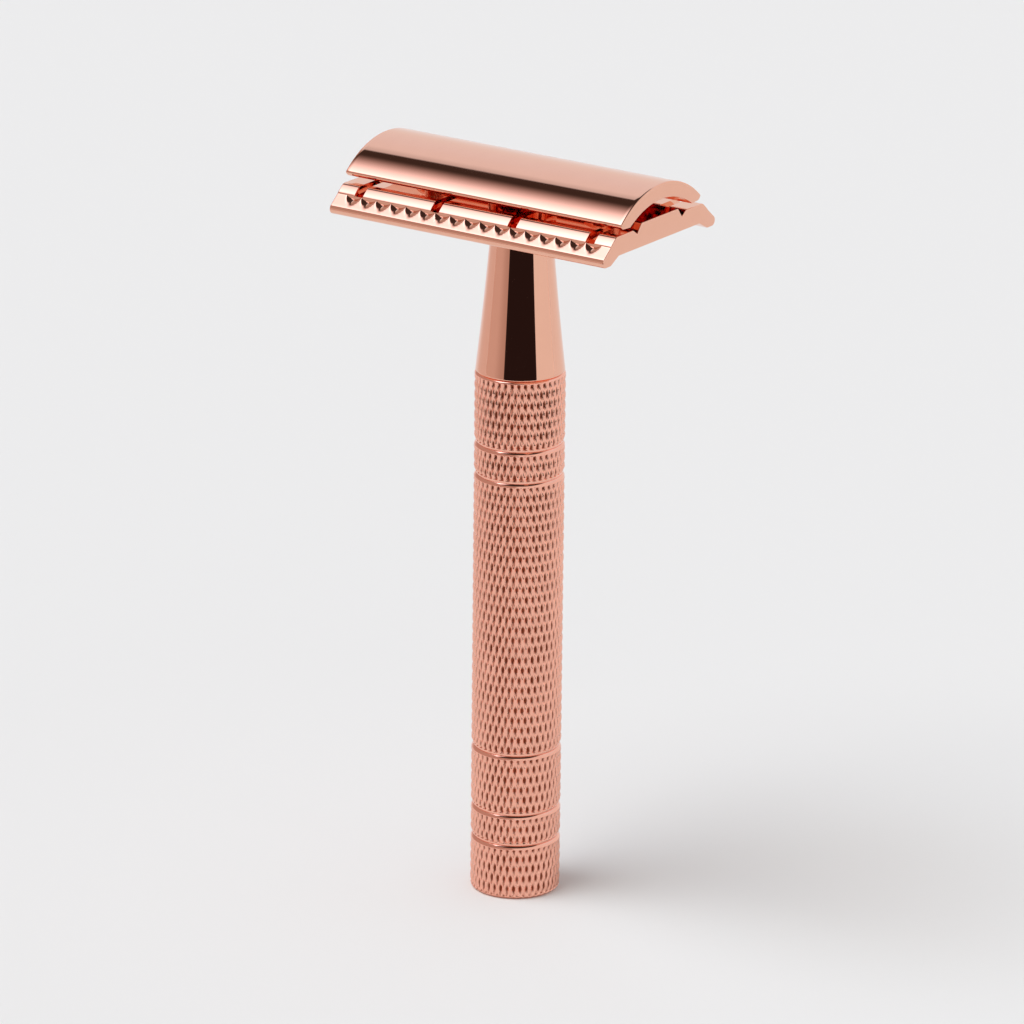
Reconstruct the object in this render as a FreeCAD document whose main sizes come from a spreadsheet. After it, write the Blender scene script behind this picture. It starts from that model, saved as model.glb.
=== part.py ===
"""Three-piece safety razor: a domed cap over a guard plate, on a knurled handle.

Origin at the centre of the handle's foot, +Z up along the handle, X along the head, front towards -Y.
The cap's threaded stud passes through the plate into a tapped bush at the top of the neck.
All lengths are millimetres.
"""
import FreeCAD, Part
import math
import os
import Sketcher

SIZES = {
    # knurled grip tube, its plain bore, and the bands between its turned grooves, from the foot up
    "grip_diameter": 12.0,
    "tube_bore": 8.0,
    "band_foot": 7.5,
    "band_lower_collar": 4.3,
    "band_lower": 8.4,
    "band_main": 38.0,
    "band_upper_collar": 4.3,
    "band_top": 9.8,
    "groove_depth": 0.3,
    "groove_bevel": 0.9,
    "groove_land": 0.45,
    "rim_chamfer": 0.4,
    # polished neck above the grip, with a spigot that fills the top of the tube
    "neck_length": 21.3,
    "neck_shoulder": 0.07,
    "neck_top_diameter": 7.75,
    "neck_flare": 0.11,
    "spigot_length": 9.0,
    # tapped bush in the neck, and the stud that screws into it
    "thread_diameter": 4.8,
    "thread_clearance": 0.07,
    "bush_wall": 0.6,
    "bush_length": 10.0,
    "relief_clearance": 0.3,
    "relief_depth": 2.0,
    "stud_reach": 7.2,
    "stud_socket": 1.1,
    "stud_chamfer": 0.5,
    # plug and ballast inside the tube
    "plug_length": 6.0,
    "plug_recess": 0.3,
    "plug_chamfer": 0.3,
    "rod_clearance": 0.15,
    "rod_chamfer": 0.5,
    # guard plate along the head, and its section from the middle out, each width measured on one side
    "plate_length": 43.1,
    "platform_width": 4.2,
    "vee_inner_width": 0.95,
    "vee_outer_width": 0.95,
    "ridge_width": 3.85,
    "strip_width": 1.25,
    "bar_reach": 1.076,
    "bar_radius": 0.7,
    "bar_face_angle": 39.2,
    "bar_step": 0.06,
    "underside_slope_width": 1.85,
    "ridge_round": 0.35,
    # heights of that section above the plate's flat underside
    "platform_height": 3.18,
    "vee_height": 1.95,
    "ridge_height": 2.6,
    "strip_drop": 1.05,
    "bar_drop": 0.29,
    # lather slots across both ridges, and scallops along both guard bars
    "slot_width": 1.3,
    "slot_count": 4,
    "slot_end_margin": 3.35,
    "scallop_count": 17,
    "scallop_end_margin": 2.7,
    "scallop_diameter": 3.9,
    "scallop_depth": 0.37,
    "scallop_fall": 25.0,
    # holes through the plate
    "stud_hole_clearance": 0.3,
    "pin_clearance": 0.1,
    # cap, set out from the plate's ridges and platform
    "cap_overhang": 0.2,
    "cap_setback": 0.65,
    "cap_foot_width": 0.55,
    "cap_lip_width": 1.5,
    "cap_lip_gap": 0.6,
    "cap_foot_rise": 0.1,
    "cap_edge_rise": 0.65,
    "cap_crown_thickness": 2.1,
    "cap_edge_round": 0.3,
    "cap_foot_round": 0.25,
    "cap_end_round": 0.2,
    "boss_height": 2.27,
    "boss_wall": 2.1,
    # locating pins pressed into the cap
    "pin_diameter": 2.5,
    "pin_end_margin": 7.55,
    "pin_socket": 1.0,
    "pin_recess": 0.6,
    "pin_chamfer": 0.3,
}

SAME_LENGTH = 1e-3

BANDS = ("band_foot", "band_lower_collar", "band_lower", "band_main", "band_upper_collar", "band_top")

# Places that several pieces share, written once as expressions on the sheet.
GRIP_LENGTH = "(" + " + ".join("Sizes." + band for band in BANDS) + ")"
PLATE_LEVEL = f"({GRIP_LENGTH} + Sizes.neck_length)"
BUSH_BORE = "(Sizes.thread_diameter + 2 * Sizes.thread_clearance)"
BUSH_DIAMETER = f"({BUSH_BORE} + 2 * Sizes.bush_wall)"
PLATE_HALF = "(Sizes.plate_length / 2)"
PIN_SIDE = f"({PLATE_HALF} - Sizes.pin_end_margin)"
SLOT_SIDE = f"({PLATE_HALF} - Sizes.slot_end_margin)"
SCALLOP_SIDE = f"({PLATE_HALF} - Sizes.scallop_end_margin)"
VEE_SIDE = "(Sizes.platform_width + Sizes.vee_inner_width)"
RIDGE_INNER = f"({VEE_SIDE} + Sizes.vee_outer_width)"
RIDGE_OUTER = f"({RIDGE_INNER} + Sizes.ridge_width)"
STRIP_SIDE = f"({RIDGE_OUTER} + Sizes.strip_width)"
STRIP_HEIGHT = "(Sizes.ridge_height - Sizes.strip_drop)"
BAR_HEIGHT = f"({STRIP_HEIGHT} - Sizes.bar_step)"
BAR_SIDE = f"({STRIP_SIDE} + Sizes.bar_reach)"
CAP_HALF = f"({PLATE_HALF} + Sizes.cap_overhang)"
CAP_SIDE = f"({RIDGE_OUTER} - Sizes.cap_setback)"
CAP_FOOT_SIDE = f"({CAP_SIDE} - Sizes.cap_foot_width)"
CAP_LIP_SIDE = f"({CAP_FOOT_SIDE} - Sizes.cap_lip_width)"
CAP_LIP_HEIGHT = "(Sizes.ridge_height + Sizes.cap_lip_gap)"
CAP_FOOT_HEIGHT = f"({CAP_LIP_HEIGHT} + Sizes.cap_foot_rise)"
CAP_EDGE_HEIGHT = f"({CAP_LIP_HEIGHT} + Sizes.cap_edge_rise)"
INNER_CROWN = "(Sizes.platform_height + Sizes.boss_height)"
CROWN = f"({INNER_CROWN} + Sizes.cap_crown_thickness)"


def make_sheet(doc):
    """The driving dimensions: one row each, its name beside its value, which carries the alias."""
    sheet = doc.addObject("Spreadsheet::Sheet", "Sizes")
    for row, (alias, size) in enumerate(SIZES.items(), start=1):
        sheet.set(f"A{row}", alias)
        sheet.set(f"B{row}", str(size))
        sheet.setAlias(f"B{row}", alias)
    doc.recompute()
    return sheet


def add_body(doc, name, level=None):
    """A body named and labelled after its piece, lifted to a level along the handle."""
    body = doc.addObject("PartDesign::Body", name)
    body.Label = name
    if level:
        body.setExpression("Placement.Base.z", level)
    return body


def add_sketch(body, name, role, offset=None):
    """A sketch on one of the body's own origin planes, moved along the plane's normal by offset."""
    plane = next(feature for feature in body.Origin.OriginFeatures if feature.Role == role)
    sketch = body.newObject("Sketcher::SketchObject", name)
    sketch.AttachmentSupport = [(plane, "")]
    sketch.MapMode = "FlatFace"
    if offset:
        sketch.setExpression("AttachmentOffset.Base.z", offset)
    return sketch


def number(item, expression):
    """The present value of an expression on the sheet, as a plain number."""
    result = item.evalExpression(expression)
    return float(getattr(result, "Value", result))


def fix_point(sketch, geometry, vertex, corner):
    """Ties a vertex to its two expressions, or to an axis where one of them is 0."""
    for kind, axis, expression in (("DistanceX", -2, corner[0]), ("DistanceY", -1, corner[1])):
        if expression == "0":
            sketch.addConstraint(Sketcher.Constraint("PointOnObject", geometry, vertex, axis))
            continue
        value = number(sketch, expression)
        index = sketch.addConstraint(Sketcher.Constraint(kind, -1, 1, geometry, vertex, value))
        sketch.setExpression(f"Constraints[{index}]", expression)


def arc_between(start, end, bulge):
    """A circular arc from start to end that stands bulge off its chord, to the right of the way along."""
    chord = end - start
    side = FreeCAD.Vector(chord.y, -chord.x, 0).normalize()
    middle = (start + end) / 2 + side * bulge
    radius = (chord.Length ** 2 / 4 + bulge ** 2) / (2 * abs(bulge))
    centre = middle - side * math.copysign(radius, bulge)
    first, last = (start, end) if bulge > 0 else (end, start)
    circle = Part.Circle(centre, FreeCAD.Vector(0, 0, 1), radius)
    begin = math.atan2(first.y - centre.y, first.x - centre.x)
    finish = math.atan2(last.y - centre.y, last.x - centre.x)
    return Part.ArcOfCircle(circle, begin, finish if finish > begin else finish + 2 * math.pi)


def draw_outline(sketch, corners, bulges=None):
    """Closes an outline through corners, each a pair of expressions, taken anticlockwise.

    bulges gives, for an edge's number, the expression of an arc's height over its chord:
    positive arcs stand outwards and negative ones inwards. The other edges are straight.
    """
    bulges = bulges or {}
    points = [FreeCAD.Vector(number(sketch, across), number(sketch, up), 0) for across, up in corners]
    edges = []
    for index, corner in enumerate(corners):
        start = points[index]
        end = points[(index + 1) % len(points)]
        if index in bulges:
            bulge = number(sketch, bulges[index])
            geometry = sketch.addGeometry(arc_between(start, end, bulge), False)
            edges.append((geometry, 1, 2) if bulge > 0 else (geometry, 2, 1))
        else:
            edges.append((sketch.addGeometry(Part.LineSegment(start, end), False), 1, 2))
    for index, (geometry, first, last) in enumerate(edges):
        following = edges[(index + 1) % len(edges)]
        sketch.addConstraint(Sketcher.Constraint("Coincident", geometry, last, following[0], following[1]))
        fix_point(sketch, geometry, first, corners[index])
    for index, bulge in bulges.items():
        fix_radius(sketch, edges[index][0], corners[index], corners[(index + 1) % len(corners)], bulge)


def fix_radius(sketch, geometry, start, end, bulge):
    """Ties an arc's radius to its chord and height: (chord squared / 4 + height squared) / (2 height)."""
    run = f"(({end[0]}) - ({start[0]}))"
    rise = f"(({end[1]}) - ({start[1]}))"
    height = f"abs({bulge})"
    expression = f"(({run} ^ 2 + {rise} ^ 2) / 4 + {height} ^ 2) / (2 * {height})"
    index = sketch.addConstraint(Sketcher.Constraint("Radius", geometry, number(sketch, expression)))
    sketch.setExpression(f"Constraints[{index}]", expression)


def draw_circle(sketch, diameter, across="0", up="0"):
    """A circle of the given diameter, its centre placed along the sketch's two axes."""
    centre = FreeCAD.Vector(number(sketch, across), number(sketch, up), 0)
    circle = Part.Circle(centre, FreeCAD.Vector(0, 0, 1), number(sketch, diameter) / 2)
    geometry = sketch.addGeometry(circle, False)
    fix_point(sketch, geometry, 3, (across, up))
    index = sketch.addConstraint(Sketcher.Constraint("Diameter", geometry, number(sketch, diameter)))
    sketch.setExpression(f"Constraints[{index}]", diameter)


def both_sides(corners):
    """The outline of a section that is the same on both sides of its centre line, from its right half."""
    mirrored = [(f"-({across})", up) for across, up in reversed(corners)]
    return corners + mirrored


def add_pad(body, name, sketch, length, symmetric=False):
    """A pad of the sketch, to one side of its plane or evenly to both."""
    pad = body.newObject("PartDesign::Pad", name)
    pad.Profile = sketch
    pad.setExpression("Length", length)
    pad.SideType = "Symmetric" if symmetric else "One side"
    return pad


def add_pocket(body, name, sketch, length=None, symmetric=False, heading=None):
    """A pocket of the sketch along its plane's normal or along a heading, checked to take material away."""
    body.Document.recompute()
    before = body.Shape.Volume
    pocket = body.newObject("PartDesign::Pocket", name)
    pocket.Profile = sketch
    pocket.Reversed = not symmetric and not heading
    pocket.SideType = "Symmetric" if symmetric else "One side"
    if heading:
        pocket.UseCustomVector = True
        for axis, expression in zip("xyz", heading):
            pocket.setExpression(f"Direction.{axis}", expression)
    if length:
        pocket.setExpression("Length", length)
    else:
        pocket.Type = "ThroughAll"
    body.Document.recompute()
    if body.Shape.Volume >= before:
        raise ValueError(f"{body.Label}: pocket {name} cuts nothing")
    return pocket


def add_revolution(body, name, sketch):
    """The sketch turned once round the handle's axis."""
    revolution = body.newObject("PartDesign::Revolution", name)
    revolution.Profile = sketch
    revolution.ReferenceAxis = (sketch, ["V_Axis"])
    revolution.Angle = 360
    return revolution


def edges_where(shape, test):
    """The names of a shape's edges whose middle point passes a test."""
    names = []
    for index, edge in enumerate(shape.Edges, start=1):
        middle = edge.valueAt((edge.FirstParameter + edge.LastParameter) / 2)
        if test(middle):
            names.append(f"Edge{index}")
    return names


def round_edges(body, name, test, radius):
    """A fillet on the edges of the body's last feature that pass a test."""
    body.Document.recompute()
    base = body.Tip
    names = edges_where(base.Shape, test)
    if not names:
        raise ValueError(f"{body.Label}: no edges for {name}")
    fillet = body.newObject("PartDesign::Fillet", name)
    fillet.Base = (base, names)
    fillet.setExpression("Radius", radius)
    return fillet


def near(first, second):
    """Whether two lengths are the same for the purpose of picking an edge."""
    return abs(first - second) < SAME_LENGTH


def make_grip_tube(doc):
    """The knurled tube: a plain bored cylinder with chamfered rims and five turned grooves."""
    body = add_body(doc, "grip_tube")
    outer = "Sizes.grip_diameter / 2"
    inner = "Sizes.tube_bore / 2"
    chamfer = "Sizes.rim_chamfer"
    sketch = add_sketch(body, "TubeSection", "XZ_Plane")
    draw_outline(sketch, [
        (inner, "0"),
        (f"{outer} - {chamfer}", "0"),
        (outer, chamfer),
        (outer, f"{GRIP_LENGTH} - {chamfer}"),
        (f"{outer} - {chamfer}", GRIP_LENGTH),
        (inner, GRIP_LENGTH),
    ])
    add_revolution(body, "Tube", sketch)
    for index in range(1, len(BANDS)):
        root = "(" + " + ".join("Sizes." + band for band in BANDS[:index]) + ")"
        add_groove(body, f"RingGroove{index}", outer, root)
    return body


def add_groove(body, name, outer, root):
    """A turned groove: a short land below its root and a long bevel above it."""
    body.Document.recompute()
    before = body.Shape.Volume
    sketch = add_sketch(body, name + "Section", "XZ_Plane")
    draw_outline(sketch, [
        (f"{outer} - Sizes.groove_depth", root),
        (f"{outer} + Sizes.groove_depth", f"{root} - 2 * Sizes.groove_land"),
        (f"{outer} + Sizes.groove_depth", f"{root} + 2 * Sizes.groove_bevel"),
    ])
    groove = body.newObject("PartDesign::Groove", name)
    groove.Profile = sketch
    groove.ReferenceAxis = (sketch, ["V_Axis"])
    groove.Angle = 360
    body.Document.recompute()
    if body.Shape.Volume >= before:
        raise ValueError(f"{body.Label}: groove {name} cuts nothing")


def make_handle_neck(doc):
    """The polished neck: a slightly hollow cone on a spigot, bored from the top for its bush."""
    body = add_body(doc, "handle_neck", GRIP_LENGTH)
    spigot = "Sizes.tube_bore / 2"
    bush = f"{BUSH_DIAMETER} / 2"
    relief = "Sizes.thread_diameter / 2 + Sizes.relief_clearance"
    seat = "Sizes.neck_length - Sizes.bush_length"
    sketch = add_sketch(body, "NeckSection", "XZ_Plane")
    draw_outline(sketch, [
        ("0", "-Sizes.spigot_length"),
        (spigot, "-Sizes.spigot_length"),
        (spigot, "0"),
        ("Sizes.grip_diameter / 2 - Sizes.neck_shoulder", "0"),
        ("Sizes.neck_top_diameter / 2", "Sizes.neck_length"),
        (bush, "Sizes.neck_length"),
        (bush, seat),
        (relief, seat),
        (relief, f"{seat} - Sizes.relief_depth"),
        ("0", f"{seat} - Sizes.relief_depth"),
    ], bulges={3: "-Sizes.neck_flare"})
    add_revolution(body, "Neck", sketch)
    return body


def make_thread_bush(doc):
    """The tapped bush pressed into the neck, flush with its top."""
    body = add_body(doc, "thread_bush", f"{PLATE_LEVEL} - Sizes.bush_length")
    sketch = add_sketch(body, "BushSection", "XY_Plane")
    draw_circle(sketch, BUSH_DIAMETER)
    draw_circle(sketch, BUSH_BORE)
    add_pad(body, "Bush", sketch, "Sizes.bush_length")
    return body


def turned_pin(body, diameter, length, chamfer, both_ends):
    """A plain round pin standing on the body's origin, its ends chamfered: the lower one or both."""
    radius = f"({diameter}) / 2"
    top = [(radius, length)]
    if both_ends:
        top = [(radius, f"({length}) - {chamfer}"), (f"{radius} - {chamfer}", length)]
    sketch = add_sketch(body, "PinSection", "XZ_Plane")
    draw_outline(sketch, [
        ("0", "0"),
        (f"{radius} - {chamfer}", "0"),
        (radius, chamfer),
        *top,
        ("0", length),
    ])
    add_revolution(body, "Pin", sketch)


def make_end_plug(doc):
    """The plug pressed into the foot of the tube, just inside its rim."""
    body = add_body(doc, "end_plug", "Sizes.plug_recess")
    turned_pin(body, "Sizes.tube_bore", "Sizes.plug_length", "Sizes.plug_chamfer", False)
    return body


def make_ballast_rod(doc):
    """The steel rod that weights the handle, held between the plug and the neck's spigot."""
    body = add_body(doc, "ballast_rod", "Sizes.plug_recess + Sizes.plug_length")
    diameter = "(Sizes.tube_bore - 2 * Sizes.rod_clearance)"
    length = f"({GRIP_LENGTH} - Sizes.spigot_length - Sizes.plug_recess - Sizes.plug_length)"
    turned_pin(body, diameter, length, "Sizes.rod_chamfer", True)
    return body


def make_cap_stud(doc):
    """The stud fixed in the cap's boss, which reaches down into the bush."""
    body = add_body(doc, "cap_stud", f"{PLATE_LEVEL} - Sizes.stud_reach")
    length = f"(Sizes.stud_reach + {INNER_CROWN} + Sizes.stud_socket)"
    turned_pin(body, "Sizes.thread_diameter", length, "Sizes.stud_chamfer", False)
    return body


def make_locating_pin(doc, name, side):
    """A pin pressed into the cap, which slides in the plate and keeps the two in line."""
    body = add_body(doc, name, f"{PLATE_LEVEL} + Sizes.pin_recess")
    body.setExpression("Placement.Base.x", f"{side} * {PIN_SIDE}")
    length = f"({INNER_CROWN} + Sizes.pin_socket - Sizes.pin_recess)"
    turned_pin(body, "Sizes.pin_diameter", length, "Sizes.pin_chamfer", False)
    return body


def plate_section():
    """The plate's outline, right half, from the underside's edge round the bar and back to the middle."""
    bar_low = "-Sizes.bar_drop - Sizes.bar_radius"
    face_side = f"{BAR_SIDE} + Sizes.bar_radius * sin(Sizes.bar_face_angle)"
    face_height = "Sizes.bar_radius * cos(Sizes.bar_face_angle) - Sizes.bar_drop"
    return [
        (f"{STRIP_SIDE} - Sizes.underside_slope_width", "0"),
        (STRIP_SIDE, bar_low),
        (BAR_SIDE, bar_low),
        (f"{BAR_SIDE} + Sizes.bar_radius", "-Sizes.bar_drop"),
        (face_side, face_height),
        (STRIP_SIDE, BAR_HEIGHT),
        (STRIP_SIDE, STRIP_HEIGHT),
        (RIDGE_OUTER, "Sizes.ridge_height"),
        (RIDGE_INNER, "Sizes.ridge_height"),
        (VEE_SIDE, "Sizes.vee_height"),
        ("Sizes.platform_width", "Sizes.platform_height"),
    ]


def bar_bulges(count):
    """The arcs round the outside of both guard bars, for an outline whose half has count corners."""
    quarter = "Sizes.bar_radius * (1 - cos(45))"
    upper = "Sizes.bar_radius * (1 - cos((90 - Sizes.bar_face_angle) / 2))"
    return {2: quarter, 3: upper, 2 * count - 5: upper, 2 * count - 4: quarter}


def make_base_plate(doc):
    """The guard plate: one section along the head, slotted, scalloped and drilled."""
    body = add_body(doc, "base_plate", PLATE_LEVEL)
    section = add_sketch(body, "PlateSection", "YZ_Plane")
    half = plate_section()
    draw_outline(section, both_sides(half), bar_bulges(len(half)))
    add_pad(body, "Plate", section, "Sizes.plate_length", symmetric=True)
    ridge_side = number(body, RIDGE_OUTER)
    round_edges(
        body,
        "RidgeRounds",
        lambda middle: near(abs(middle.y), ridge_side) and near(middle.x, 0),
        "Sizes.ridge_round",
    )
    cut_scallops(body)
    cut_lather_slots(body)
    cut_plate_holes(body)
    return body


def cut_scallops(body):
    """Round-bottomed scallops in both bars, their floors falling outwards and running out on the slope."""
    radius = "Sizes.scallop_diameter / 2"
    level = f"{BAR_HEIGHT} - Sizes.scallop_depth + {radius}"
    step = f"2 * {SCALLOP_SIDE} / (Sizes.scallop_count - 1)"
    for name, side in (("Front", 1), ("Rear", -1)):
        sketch = add_sketch(body, f"{name}ScallopSection", "XZ_Plane", f"{side} * {STRIP_SIDE}")
        for index in range(int(number(body, "Sizes.scallop_count"))):
            draw_circle(sketch, "Sizes.scallop_diameter", f"{index} * {step} - {SCALLOP_SIDE}", level)
        length = "Sizes.bar_reach + Sizes.bar_radius"
        fall = ("0", f"{-side} * cos(Sizes.scallop_fall)", "-sin(Sizes.scallop_fall)")
        add_pocket(body, f"{name}Scallops", sketch, length, heading=fall)


def cut_lather_slots(body):
    """Slots across both ridges, their floors falling from the vee grooves to the guard bars."""
    slots = add_sketch(body, "SlotSection", "YZ_Plane", f"-{SLOT_SIDE}")
    above = "Sizes.ridge_height + Sizes.bar_radius"
    right = [
        (VEE_SIDE, "Sizes.vee_height"),
        (STRIP_SIDE, BAR_HEIGHT),
        (STRIP_SIDE, above),
        (VEE_SIDE, above),
    ]
    left = [(f"-({across})", up) for across, up in reversed(right)]
    draw_outline(slots, right)
    draw_outline(slots, left)
    pocket = add_pocket(body, "LatherSlot", slots, "Sizes.slot_width", symmetric=True)
    pattern = body.newObject("PartDesign::LinearPattern", "LatherSlots")
    pattern.Originals = [pocket]
    pattern.Direction = (slots, ["N_Axis"])
    pattern.setExpression("Length", f"2 * {SLOT_SIDE}")
    pattern.setExpression("Occurrences", "Sizes.slot_count")
    body.Tip = pattern


def cut_plate_holes(body):
    """The stud's clearance hole in the middle and a hole for each locating pin."""
    stud_hole = add_sketch(body, "StudHole", "XY_Plane")
    draw_circle(stud_hole, "Sizes.thread_diameter + 2 * Sizes.stud_hole_clearance")
    add_pocket(body, "StudPassage", stud_hole)
    pin_holes = add_sketch(body, "PinHoles", "XY_Plane")
    diameter = "Sizes.pin_diameter + 2 * Sizes.pin_clearance"
    draw_circle(pin_holes, diameter, PIN_SIDE)
    draw_circle(pin_holes, diameter, f"-{PIN_SIDE}")
    add_pocket(body, "PinPassages", pin_holes)


def make_cap(doc):
    """The domed cap: an arched shell along the head, with a boss that stands on the plate's platform."""
    body = add_body(doc, "cap", PLATE_LEVEL)
    section = add_sketch(body, "CapSection", "YZ_Plane")
    right = [
        (CAP_LIP_SIDE, CAP_LIP_HEIGHT),
        (CAP_FOOT_SIDE, CAP_FOOT_HEIGHT),
        (CAP_SIDE, CAP_EDGE_HEIGHT),
    ]
    dome = f"{CROWN} - {CAP_EDGE_HEIGHT}"
    hollow = f"-({INNER_CROWN} - {CAP_LIP_HEIGHT})"
    draw_outline(section, both_sides(right), {2: dome, 5: hollow})
    add_pad(body, "Shell", section, f"2 * {CAP_HALF}", symmetric=True)
    side = number(body, CAP_SIDE)
    foot = number(body, CAP_FOOT_SIDE)
    end = number(body, CAP_HALF)
    crown = number(body, CROWN)
    round_edges(
        body,
        "EdgeRounds",
        lambda middle: near(abs(middle.y), side) and near(middle.x, 0),
        "Sizes.cap_edge_round",
    )
    round_edges(
        body,
        "FootRounds",
        lambda middle: near(abs(middle.y), foot) and near(middle.x, 0),
        "Sizes.cap_foot_round",
    )
    round_edges(
        body,
        "EndRounds",
        lambda middle: near(abs(middle.x), end) and near(middle.y, 0) and near(middle.z, crown),
        "Sizes.cap_end_round",
    )
    add_boss(body)
    cut_sockets(body)
    return body


def add_boss(body):
    """The round boss under the crown that takes the stud and stands on the platform."""
    sketch = add_sketch(body, "BossSection", "XY_Plane", "Sizes.platform_height")
    draw_circle(sketch, "Sizes.thread_diameter + 2 * Sizes.boss_wall")
    add_pad(body, "Boss", sketch, "Sizes.boss_height + Sizes.cap_crown_thickness / 2")


def cut_sockets(body):
    """Blind sockets for the stud and the pins, from below."""
    stud = add_sketch(body, "StudSocketSection", "XY_Plane")
    draw_circle(stud, "Sizes.thread_diameter")
    add_pocket(body, "StudSocket", stud, f"{INNER_CROWN} + Sizes.stud_socket")
    pins = add_sketch(body, "PinSocketSection", "XY_Plane")
    draw_circle(pins, "Sizes.pin_diameter", PIN_SIDE)
    draw_circle(pins, "Sizes.pin_diameter", f"-{PIN_SIDE}")
    add_pocket(body, "PinSockets", pins, f"{INNER_CROWN} + Sizes.pin_socket")


def check_document(doc, pieces):
    """Stops on any failed object and on any piece that isn't one valid solid."""
    for item in doc.Objects:
        if {"Invalid", "Error"} & set(item.State):
            raise ValueError(f"{item.Label}: {item.State}")
    for piece in pieces:
        shape = piece.Shape
        if shape.isNull() or not shape.isValid() or len(shape.Solids) != 1:
            raise ValueError(f"{piece.Label}: not one valid solid")
        print(f"{piece.Label}: {shape.Volume:.2f} mm3")


def main():
    doc = FreeCAD.newDocument("SafetyRazor")
    make_sheet(doc)
    pieces = [
        make_grip_tube(doc),
        make_end_plug(doc),
        make_ballast_rod(doc),
        make_handle_neck(doc),
        make_thread_bush(doc),
        make_base_plate(doc),
        make_cap(doc),
        make_cap_stud(doc),
        make_locating_pin(doc, "locating_pin_left", -1),
        make_locating_pin(doc, "locating_pin_right", 1),
    ]
    doc.recompute()
    check_document(doc, pieces)
    os.makedirs("parts", exist_ok=True)
    for piece in pieces:
        piece.Shape.exportStep(f"parts/{piece.Label}.step")


main()
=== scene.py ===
"""Looks of the three-piece safety razor: surfaces, finishes, studio and camera.

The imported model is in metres, origin at the centre of the handle's foot, +Z up, X along the head.
Shapes are worked out here in millimetres and written to their meshes in metres.
"""

import math

import bpy
import numpy as np
from mathutils import Matrix, Vector


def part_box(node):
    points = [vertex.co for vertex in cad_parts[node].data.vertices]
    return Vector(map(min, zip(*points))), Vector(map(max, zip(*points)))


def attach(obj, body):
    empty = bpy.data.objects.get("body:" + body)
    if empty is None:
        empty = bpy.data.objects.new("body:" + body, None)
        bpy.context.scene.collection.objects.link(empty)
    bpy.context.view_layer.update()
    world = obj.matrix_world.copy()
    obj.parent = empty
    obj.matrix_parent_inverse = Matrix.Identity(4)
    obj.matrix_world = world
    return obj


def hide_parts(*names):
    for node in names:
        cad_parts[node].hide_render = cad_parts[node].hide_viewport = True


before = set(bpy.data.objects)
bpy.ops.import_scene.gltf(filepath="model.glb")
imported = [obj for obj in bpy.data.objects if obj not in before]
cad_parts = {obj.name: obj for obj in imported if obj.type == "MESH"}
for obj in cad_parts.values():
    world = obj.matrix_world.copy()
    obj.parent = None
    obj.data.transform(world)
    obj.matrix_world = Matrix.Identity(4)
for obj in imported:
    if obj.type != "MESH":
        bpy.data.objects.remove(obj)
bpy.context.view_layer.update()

MM = 0.001
TURN = 2 * math.pi

# How near two places in millimetres are taken as one.
TOLERANCE = 0.01

# Levels that the frame gives, in millimetres.
GRIP_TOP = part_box("grip_tube")[1].z / MM
PLATE_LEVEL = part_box("handle_neck")[1].z / MM
PLATE_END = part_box("base_plate")[1].x / MM
CAP_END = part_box("cap")[1].x / MM
STUD_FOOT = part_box("cap_stud")[0].z / MM
STUD_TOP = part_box("cap_stud")[1].z / MM
PIN_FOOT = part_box("locating_pin_left")[0].z / MM
PIN_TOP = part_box("locating_pin_left")[1].z / MM
PIN_RADIUS = (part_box("locating_pin_left")[1].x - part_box("locating_pin_left")[0].x) / 2 / MM
PIN_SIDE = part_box("locating_pin_right")[1].x / MM - PIN_RADIUS
PLUG_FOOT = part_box("end_plug")[0].z / MM
PLUG_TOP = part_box("end_plug")[1].z / MM
BUSH_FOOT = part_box("thread_bush")[0].z / MM

# Handle. A groove's lower band ends in a rounded land, and its upper band starts with a longer bevel.
GRIP_RADIUS = 6.0
BORE_RADIUS = 4.0
GROOVE_ROOTS = (7.5, 11.8, 20.2, 58.2, 62.5)
GROOVE_DEPTH = 0.3
GROOVE_BEVEL = 0.9
GROOVE_LAND = 0.45
RIM_CHAMFER = 0.4
EDGE_ROUNDING = 1.5
NECK_FOOT_RADIUS = 5.93
NECK_TOP_RADIUS = 3.875
NECK_FLARE = 0.11
SPIGOT_LENGTH = 9.0
BUSH_RADIUS = 3.07
BUSH_BORE = 2.47
RELIEF_RADIUS = 2.7
RELIEF_DEPTH = 2.0
PLUG_DISH = ((0, 0.35), (0.5, 0.12), (2.6, 0.06), (3.2, 0))
PLUG_CHAMFER = 0.3
PIN_CHAMFER = 0.3

# Knurling: the grooves in each of its two families, how far apart they lie up the handle, the depth of a
# crossing, half a groove's width as a share of its spacing, a plain groove's share of the depth, the
# smooth margin above a bevel, the height over which the pits come in, and how far crossings may differ.
KNURL_STARTS = 41
KNURL_LEAD = 2.81
KNURL_DEPTH = 0.38
KNURL_GROOVE = 0.4
KNURL_ALONG = 0.38
KNURL_MARGIN = 0.3
KNURL_FADE = 0.15
KNURL_UNEVEN = 0.2

# Large odd factors that scramble a crossing's numbers into a share.
KNURL_SCRAMBLE = (12.9898, 78.233, 43758.5453)

# The grip's mesh: columns and rows to each groove's spacing, the least room between a band's end and a
# row, and the points over a bevel.
KNURL_COLUMNS = 9
KNURL_ROWS = 18
KNURL_END_ROW = 0.02
BEVEL_POINTS = 9

# Thread of the stud and the bush.
THREAD_PITCH = 0.8
THREAD_DEPTH = 0.4
STUD_RADIUS = 2.4
STUD_CHAMFER = 0.5
STUD_SHANK = 2.6
THREAD_FLAT = 0.15
THREAD_AROUND = 72
THREAD_ROWS = 10
BUSH_LEAST_WALL = 0.15

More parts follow.
